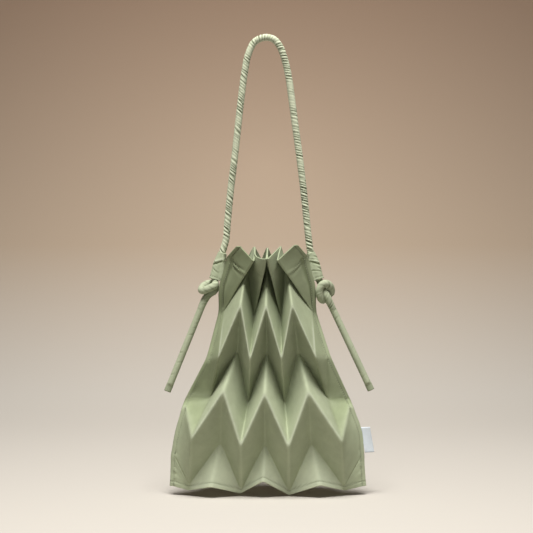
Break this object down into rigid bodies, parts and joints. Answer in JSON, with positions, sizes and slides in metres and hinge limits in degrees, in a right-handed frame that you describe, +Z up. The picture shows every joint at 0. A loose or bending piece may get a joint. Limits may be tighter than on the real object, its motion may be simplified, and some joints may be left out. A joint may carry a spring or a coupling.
{
  "type": "knot bag",
  "caption": "Pleated cloth shoulder bag with zigzag folds, a gathered open mouth and a cord strap knotted below sleeves on the side seams.",
  "frame": {"origin": "inner side of the strap's highest point, where the bag hangs", "axes": "+Z up, +X to the right of someone facing the bag, front panel facing -Y"},
  "size_m": [0.252, 0.101, 0.5519],
  "materials": {
    "cloth": "matt plain weave, sharply pressed folds",
    "cord": "gathered cloth cover over a round cord",
    "label": "smooth woven tape, blank"
  },
  "bodies": {
    "root": {"front_panel": "cloth", "back_panel": "cloth", "left_sleeve": "cloth", "right_sleeve": "cloth", "strap": "cord", "left_knot": "cord", "right_knot": "cord", "left_tail": "cord", "right_tail": "cord", "label": "label"}
  },
  "joints": []
}
